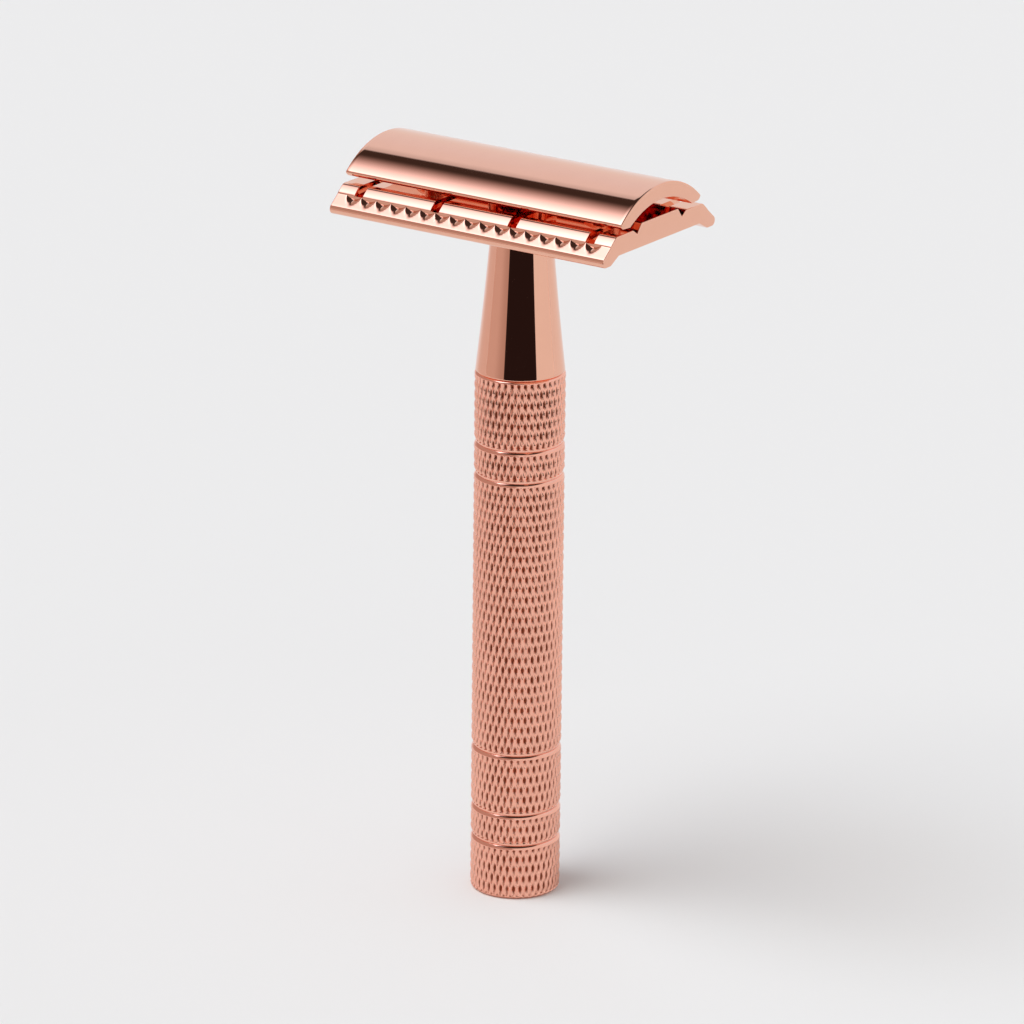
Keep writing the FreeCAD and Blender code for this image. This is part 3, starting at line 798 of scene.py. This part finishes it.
def slot_share(x):
    """How far each station along X lies inside a lather slot: nought outside, one inside, eased between."""
    places = np.array([side * place for place in SLOT_SIDES for side in (-1, 1)])
    inside = SLOT_WIDTH / 2 - np.abs(x[:, None] - places[None]).min(axis=1)
    share = np.clip((inside + SLOT_EASING) / (2 * SLOT_EASING), 0, 1)
    return share * share * (3 - 2 * share)


def scallop_floor(x, away):
    """Height of the scallops' floors at stations along X and distances from the middle line.

    Each floor is a round trough of its own circle, and falls outwards from the bar's root in a straight
    line; between two troughs the height stays above the bar's face.
    """
    places = np.linspace(-SCALLOP_SIDE, SCALLOP_SIDE, SCALLOP_COUNT)
    off_centre = np.abs(x[:, None] - places[None]).min(axis=1)
    trough = SCALLOP_RADIUS - np.sqrt(np.maximum(SCALLOP_RADIUS ** 2 - off_centre ** 2, 0))
    fall = (away - BAR_ROOT[0]) * math.tan(SCALLOP_FALL)
    return BAR_ROOT[1] - SCALLOP_DEPTH + trough[:, None] - fall[None]


def plate_stations():
    """Stations along the plate: even steps between the frames of its holes, closer at the slots' sides."""
    frames = [PIN_SIDE + side * reach for side in (-1, 1) for reach in PIN_HOLE_FRAME]
    marks = np.array([0.0, *STUD_HOLE_FRAME, *frames, PLATE_END - 1.5 * PLATE_ROUND])
    marks = np.unique(np.concatenate([-marks, marks]))
    stretches = zip(marks[:-1], marks[1:])
    steps = [np.linspace(low, high, math.ceil((high - low) / PLATE_STEP) + 1) for low, high in stretches]
    sides = [place + way * SLOT_WIDTH / 2 for place in SLOT_SIDES for way in (-1, 1)]
    near_side = np.array(sides)[:, None] + SLOT_SIDE_STEPS
    return np.unique(np.round(np.concatenate([*steps, near_side.ravel(), -near_side.ravel()]), 4))


def cut_heights(x, upper):
    """Heights of the upper outline at each station: the smaller of the section and of what cuts it.

    A slot's floor falls in a straight line from the vee to the bar's root. The scallops lie outside the
    two roots.
    """
    away = np.abs(upper[:, 0])
    slot_floor = np.interp(away, [VEE_ROOT[0], BAR_ROOT[0]], [VEE_ROOT[1], BAR_ROOT[1]])
    slotted = (away > VEE_ROOT[0]) & (away < STRIP_FOOT[0] + TOLERANCE)
    cut = np.where(slotted, np.minimum(upper[:, 1], slot_floor), upper[:, 1])
    height = upper[:, 1] + slot_share(x)[:, None] * (cut - upper[:, 1])
    root = int(np.argmin(np.hypot(*(upper - BAR_ROOT).T)))
    number = np.arange(len(upper))
    on_bar = (number >= root) | (number <= len(upper) - 1 - root)
    return np.where(on_bar, np.minimum(height, scallop_floor(x, away)), height)


def nearest(values, wanted):
    """The place of the value nearest to the wanted one."""
    return int(np.argmin(np.abs(values - wanted)))


def hole_wall(index, gone, stations, points, under):
    """Faces of a hole's wall, from the loop of vertices round it above to the loop straight under that.

    stations and points are the first and the last of the loop, along the plate and along its outline,
    and under less an upper point is the lower one. The faces inside both loops are marked as gone.
    """
    near, far = stations
    first, last = points
    gone[near:far, first:last] = True
    gone[near:far, under - last:under - first] = True
    length, width = far - near, last - first
    loop_stations = np.concatenate([
        np.arange(near, far), np.full(width, far), np.arange(far, near, -1), np.full(width, near),
    ])
    loop_points = np.concatenate([
        np.full(length, first), np.arange(first, last), np.full(length, last), np.arange(last, first, -1),
    ])
    above = index[loop_stations, loop_points]
    below = index[loop_stations, under - loop_points]
    return np.stack([above, below, np.roll(below, -1), np.roll(above, -1)], axis=-1)


def open_hole(points, middle, radius, frame_reach):
    """Grid points round a square hole moved so that the hole is round.

    A point's square distance from the hole's middle runs from the frame's inner reach, where it goes to
    the circle along its own direction, to the outer one, where it stays; between them it is shared
    evenly.
    """
    inner, outer = frame_reach
    centre = np.array((middle, 0.0))
    away = points[..., :2] - centre
    square = np.abs(away).max(axis=-1, keepdims=True)
    straight = np.maximum(np.hypot(away[..., :1], away[..., 1:]), 1e-9)
    share = (square - inner) / (outer - inner)
    on_circle = away / straight * radius
    on_square = away * outer / np.maximum(square, 1e-9)
    moved = (1 - share) * on_circle + share * on_square
    near = (square > inner - 1e-6) & (square < outer)
    points[..., :2] = np.where(near, centre + moved, points[..., :2])


def guard_plate():
    """The guard plate: its section along X, cut by slots and scallops, with three holes through it."""
    upper, lower = plate_ring()
    ring = ring_of(upper, lower)
    x = plate_stations()
    rows = np.empty((len(x), len(ring), 3))
    rows[..., 0] = x[:, None]
    rows[..., 1:] = ring
    rows[:, :len(upper), 2] = cut_heights(x, upper)
    holes = [
        (0.0, STUD_HOLE_RADIUS, STUD_HOLE_FRAME),
        (-PIN_SIDE, PIN_HOLE_RADIUS, PIN_HOLE_FRAME),
        (PIN_SIDE, PIN_HOLE_RADIUS, PIN_HOLE_FRAME),
    ]
    for hole in holes:
        open_hole(rows, *hole)
    first_end = rounded_ends(ring, PLATE_END, np.full(len(ring), PLATE_ROUND))
    rows = with_both_ends(first_end, rows)
    index, sides, ends = bar_faces(rows)
    under = len(ring) + (len(upper) - len(lower)) // 2
    gone = np.zeros((len(index) - 1, len(ring)), bool)
    walls = []
    for middle, _, (inner, _) in holes:
        stations = [len(first_end) + nearest(x, middle + reach) for reach in (-inner, inner)]
        points = [nearest(upper[:, 0], reach) for reach in (-inner, inner)]
        walls.append(hole_wall(index, gone, stations, points, under))
    faces = [sides[~gone.ravel()], *walls, *ends]
    used = np.zeros(index.size, bool)
    used[np.concatenate([part.ravel() for part in faces])] = True
    renumber = np.cumsum(used) - 1
    faces = [renumber[part] for part in faces]
    points = rows.reshape(-1, 3)[used] + (0, 0, PLATE_LEVEL)
    add_piece("guard_plate", "guard", POLISHED, points, faces, ("base_plate",))


def cap_shell():
    """The cap: an arch over the plate along X, its foot and edges rounded and its ends eased."""
    dome = circle_arc(CAP_EDGE, CROWN)
    outline = np.vstack([dome, [CAP_FOOT, CAP_LIP]])
    upper = spread(softened(outline, [(CAP_EDGE, 0.3), (CAP_FOOT, 0.25)]), CAP_POINTS, turning=0.8)
    hollow = spread(circle_arc(CAP_LIP, INNER_CROWN), CAP_POINTS, turning=0.0)
    upper, lower = mirrored(upper), mirrored(hollow)
    ring = ring_of(upper, lower)
    on_dome = np.arange(len(ring)) < len(upper)
    inset = np.where(on_dome, CAP_OUTER_ROUND, CAP_INNER_ROUND)
    first_end = rounded_ends(ring, CAP_END, inset, steps=8)
    x = np.linspace(-CAP_END + CAP_END_MARGIN, CAP_END - CAP_END_MARGIN, CAP_STATIONS)
    middle = np.empty((len(x), len(ring), 3))
    middle[..., 0] = x[:, None]
    middle[..., 1:] = ring[None]
    rows = with_both_ends(first_end, middle)
    _, sides, ends = bar_faces(rows)
    points = rows.reshape(-1, 3) + (0, 0, PLATE_LEVEL)
    add_piece("cap_shell", "cap_set", POLISHED, points, [sides, *ends], ("cap",))


def cap_boss():
    """The boss under the crown: a round block that stands on the platform and runs up into the cap."""
    foot = PLATE_LEVEL + PLATFORM[1]
    top = PLATE_LEVEL + INNER_CROWN + BOSS_SUNK
    profile = [(0, foot), (BOSS_RADIUS, foot), (BOSS_RADIUS, top), (0, top)]
    rounds = [((BOSS_RADIUS, foot), 0.15)]
    turned_piece("cap_boss", "cap_set", POLISHED, profile, rounds, nodes=(), count=40)


# ---------------------------------------------------------------- studio

# The camera's bearing from the front, its height and roll, its distance and its lens.
CAMERA_BEARING = math.radians(34.62)
CAMERA_HEIGHT = math.radians(18.22)
CAMERA_ROLL = math.radians(0.6)
CAMERA_DISTANCE = 0.9365
CAMERA_LENS = 249.5
AIM_LEVEL = 0.05251
AIM_LEFT = 0.00089

TOWARDS_CAMERA = (math.sin(CAMERA_BEARING), -math.cos(CAMERA_BEARING), 0.0)
CAMERA_RIGHT = (math.cos(CAMERA_BEARING), math.sin(CAMERA_BEARING), 0.0)


def camera():
    """A long lens a little above the razor."""
    back = np.array(TOWARDS_CAMERA) * math.cos(CAMERA_HEIGHT) + (0, 0, math.sin(CAMERA_HEIGHT))
    right = np.array(CAMERA_RIGHT)
    up = np.cross(back, right)
    rolled_right = right * math.cos(CAMERA_ROLL) + up * math.sin(CAMERA_ROLL)
    rolled_up = up * math.cos(CAMERA_ROLL) - right * math.sin(CAMERA_ROLL)
    aim = np.array((0, 0, AIM_LEVEL)) - right * AIM_LEFT
    data = bpy.data.cameras.new("camera")
    data.lens = CAMERA_LENS
    data.sensor_width = 36
    data.clip_end = 20
    made = bpy.data.objects.new("camera", data)
    matrix = np.eye(4)
    matrix[:3, 0] = rolled_right
    matrix[:3, 1] = rolled_up
    matrix[:3, 2] = back
    matrix[:3, 3] = aim + back * CAMERA_DISTANCE
    made.matrix_world = Matrix(matrix.tolist())
    bpy.context.scene.collection.objects.link(made)
    bpy.context.scene.camera = made


# The table: how far its middle lies behind the razor, its radius, how little it clears the foot, the
# points round its rim, and where shade is painted onto it, measured towards the camera's right.
FLOOR_BEHIND = 0.3
FLOOR_RADIUS = 0.55
FLOOR_GAP = 0.00001
FLOOR_POINTS = 256
PAINTED_SHADE_SPAN = (-0.3, -0.15)
PALE = (0.83, 0.837, 0.822, 1)
PAINTED_SHADE_TABLE = (0.73, 0.65, 0.62, 1)


def floor():
    """A pale table top, clear from below: a disc far behind the razor and a hand's length in front.

    Well over to the left it is painted dimmer and warmer, as shade where the light falls off.
    """
    mesh = bpy.data.meshes.new("floor")
    angle = np.arange(FLOOR_POINTS) / FLOOR_POINTS * TURN
    rim = np.stack([np.cos(angle), np.sin(angle), np.zeros(FLOOR_POINTS)], axis=-1) * FLOOR_RADIUS
    rim = rim - np.array(TOWARDS_CAMERA) * FLOOR_BEHIND - (0, 0, FLOOR_GAP)
    mesh.from_pydata(rim.tolist(), [], [list(range(FLOOR_POINTS))])
    material = bpy.data.materials.new("pale_table")
    material.use_nodes = True
    tree = material.node_tree
    shader = tree.nodes["Principled BSDF"]
    place = add_node(tree, "ShaderNodeTexCoord").outputs["Object"]
    across = add_node(tree, "ShaderNodeVectorMath", {0: place, 1: CAMERA_RIGHT}, operation="DOT_PRODUCT")
    # Painted shade: the table's colour darkens towards the left.
    painted_shade = falling(tree, across.outputs["Value"], PAINTED_SHADE_SPAN)
    tree.links.new(blended(tree, painted_shade, PALE, PAINTED_SHADE_TABLE), shader.inputs["Base Color"])
    shader.inputs["Roughness"].default_value = 0.9
    shader.inputs["Specular IOR Level"].default_value = 0.0
    seen = add_node(
        tree, "ShaderNodeMixShader",
        {
            0: add_node(tree, "ShaderNodeNewGeometry").outputs["Backfacing"],
            1: shader.outputs["BSDF"],
            2: add_node(tree, "ShaderNodeBsdfTransparent").outputs["BSDF"],
        },
    )
    tree.links.new(seen.outputs["Shader"], tree.nodes["Material Output"].inputs["Surface"])
    mesh.materials.append(material)
    made = bpy.data.objects.new("floor", mesh)
    bpy.context.scene.collection.objects.link(made)


SWEEP_LIGHT = (0.86, 0.86, 0.86, 1)
COOL_SWEEP = (0.85, 0.9, 0.98, 1)
LEFT_SWEEP = (0.74, 0.64, 0.62, 1)
LOW_LEFT_SWEEP = (0.66, 0.55, 0.52, 1)
WARM_SHADE = (0.5, 0.39, 0.36, 1)
CEILING_LIGHT = (0.05, 0.036, 0.032, 1)
FRONT_LIGHT = (0.02, 0.0125, 0.0125, 1)
SOFTBOX_EDGE = (1.9, 1.5, 1.55, 1)
SOFTBOX_LIGHT = (2.1, 2.5, 3.0, 1)
BACKDROP = (0.84, 0.84, 0.845, 1)

# Where each part of the studio begins and ends, as shares of a direction of length one: up, towards the
# camera's right, or facing, which is how much of its level part points to the camera. The softbox's four
# are sideways shares over the upward one.
BEHIND_FACING = (-0.3, 0.3)
COOL_UP = (0.2, 0.6)
LEFT_FRONT_RIGHT = (-0.2, 0.0)
LEFT_FRONT_FACING = (0.26, 0.74)
RAISED_SHADE_RIGHT = (-0.38, -0.3)
RAISED_SHADE_UP = (0.03, 0.2)
LEFTWARD_RIGHT = (-0.55, -0.3)
LOW_LEFT_UP = (-0.1, 0.1)
SWEEP_FADE_UP = (0.71, 0.772)
SWEEP_FADE = 0.25
SWEEP_TOP_UP = (0.764, 0.778)
SOFTBOX_LEFT_SIDE = (-0.86, -0.72)
SOFTBOX_RIGHT_SIDE = (-0.4, -0.2)
SOFTBOX_BACK = (-0.6, -0.1)
SOFTBOX_FRONT = (0.25, 0.4)
DARK_FACING = (0.735, 0.75)
DARK_UP = (0.0, 0.05)

# The least shares that are divided by.
LEAST_UP = 0.02
LEAST_LEVEL = 0.001

LAMP_POWER = 1.67
LAMP_SPREAD = math.radians(46)
LAMP_LEAN_LEFT = 0.55
LAMP_LEAN_FRONT = 0.2
GLOSSY_BOUNCES = 12


def blended(tree, share, first, second, mode="MIX"):
    """Two colours mixed, or added, by a share."""
    made = add_node(tree, "ShaderNodeMix", data_type="RGBA", blend_type=mode)
    for socket, value in ((0, share), (6, first), (7, second)):
        if isinstance(value, bpy.types.NodeSocket):
            tree.links.new(value, made.inputs[socket])
        else:
            made.inputs[socket].default_value = value
    return made.outputs[2]


def studio():
    """The light round the razor, by direction: a pale sweep, a dark room above and in front, a softbox.

    A direction is measured towards the camera's right, towards the camera, and up. The sweep reaches
    about 50 degrees up all round: cooler behind, shaded and warmer on the left of the front, and dimmer
    on the left, most of all below the horizon. The softbox lies overhead to the left: its place is a
    direction's sideways parts over its upward part. The dark room shows below the horizon in a wedge in
    front.
    """
    world = bpy.data.worlds.new("studio")
    world.use_nodes = True
    tree = world.node_tree
    tree.nodes.clear()
    way = add_node(tree, "ShaderNodeTexCoord").outputs["Generated"]
    up = add_node(tree, "ShaderNodeSeparateXYZ", {"Vector": way}).outputs["Z"]

    def along(axis):
        product = add_node(tree, "ShaderNodeVectorMath", {0: way, 1: axis}, operation="DOT_PRODUCT")
        return product.outputs["Value"]

    right = along(CAMERA_RIGHT)
    front = along(TOWARDS_CAMERA)
    raised = math_node(tree, "MAXIMUM", up, LEAST_UP)
    right_over = math_node(tree, "DIVIDE", right, raised)
    front_over = math_node(tree, "DIVIDE", front, raised)
    level = math_node(tree, "MULTIPLY_ADD", front, front, math_node(tree, "MULTIPLY", right, right))
    level = math_node(tree, "MAXIMUM", math_node(tree, "SQRT", level), LEAST_LEVEL)
    facing = math_node(tree, "DIVIDE", front, level)

    cool = math_node(tree, "MULTIPLY", falling(tree, facing, BEHIND_FACING), rising(tree, up, COOL_UP))
    raised_shade = math_node(
        tree, "MULTIPLY", falling(tree, right, RAISED_SHADE_RIGHT), rising(tree, up, RAISED_SHADE_UP)
    )
    shaded = math_node(tree, "MAXIMUM", rising(tree, facing, LEFT_FRONT_FACING), raised_shade)
    shaded = math_node(tree, "MULTIPLY", falling(tree, right, LEFT_FRONT_RIGHT), shaded)
    leftward = falling(tree, right, LEFTWARD_RIGHT)
    low_left = math_node(tree, "MULTIPLY", leftward, falling(tree, up, LOW_LEFT_UP))
    fading = math_node(tree, "MULTIPLY", rising(tree, up, SWEEP_FADE_UP), SWEEP_FADE)
    sweep = blended(tree, cool, SWEEP_LIGHT, COOL_SWEEP)
    sweep = blended(tree, leftward, sweep, LEFT_SWEEP)
    sweep = blended(tree, low_left, sweep, LOW_LEFT_SWEEP)
    sweep = blended(tree, shaded, sweep, WARM_SHADE)
    sweep = blended(tree, fading, sweep, CEILING_LIGHT)
    sweep = blended(tree, rising(tree, up, SWEEP_TOP_UP), sweep, CEILING_LIGHT)

    box_left = rising(tree, right_over, SOFTBOX_LEFT_SIDE)
    box_across = math_node(tree, "MULTIPLY", box_left, falling(tree, right_over, SOFTBOX_RIGHT_SIDE))
    box_back = rising(tree, front_over, SOFTBOX_BACK)
    box_deep = math_node(tree, "MULTIPLY", box_back, falling(tree, front_over, SOFTBOX_FRONT))
    softbox = math_node(tree, "MULTIPLY", box_across, box_deep)
    softbox_light = blended(tree, softbox, SOFTBOX_EDGE, SOFTBOX_LIGHT)
    lit = blended(tree, softbox, sweep, softbox_light, "ADD")
    dark = math_node(tree, "MULTIPLY", rising(tree, facing, DARK_FACING), falling(tree, up, DARK_UP))
    lit = blended(tree, dark, lit, FRONT_LIGHT)

    scene_light = add_node(tree, "ShaderNodeBackground", {"Color": lit, "Strength": 1.0})
    backdrop = add_node(tree, "ShaderNodeBackground", {"Color": BACKDROP, "Strength": 1.0})
    path = add_node(tree, "ShaderNodeLightPath")
    mixed = add_node(
        tree, "ShaderNodeMixShader",
        {0: path.outputs["Is Camera Ray"], 1: scene_light.outputs[0], 2: backdrop.outputs[0]},
    )
    out = add_node(tree, "ShaderNodeOutputWorld")
    tree.links.new(mixed.outputs[0], out.inputs["Surface"])
    bpy.context.scene.world = world
    bpy.context.scene.view_settings.view_transform = "Standard"
    bpy.context.scene.cycles.glossy_bounces = GLOSSY_BOUNCES


def lamp():
    """A broad soft lamp over the left, for the table and the razor's shadow, which no metal mirrors."""
    data = bpy.data.lights.new("lamp", "SUN")
    data.energy = LAMP_POWER
    data.angle = LAMP_SPREAD
    made = bpy.data.objects.new("lamp", data)
    lean = np.array(TOWARDS_CAMERA) * LAMP_LEAN_FRONT - np.array(CAMERA_RIGHT) * LAMP_LEAN_LEFT
    made.rotation_euler = Vector((lean[0], lean[1], 1.0)).to_track_quat("Z", "Y").to_euler()
    made.visible_glossy = False
    bpy.context.scene.collection.objects.link(made)


def finish_kept_rod():
    """The ballast rod keeps its own shape and takes bare steel."""
    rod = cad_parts["ballast_rod"]
    rod.data.materials.clear()
    rod.data.materials.append(BARE_STEEL)


grip()
neck()
plug()
stud()
bush()
locating_pins()
guard_plate()
cap_shell()
cap_boss()
finish_kept_rod()
camera()
floor()
studio()
lamp()
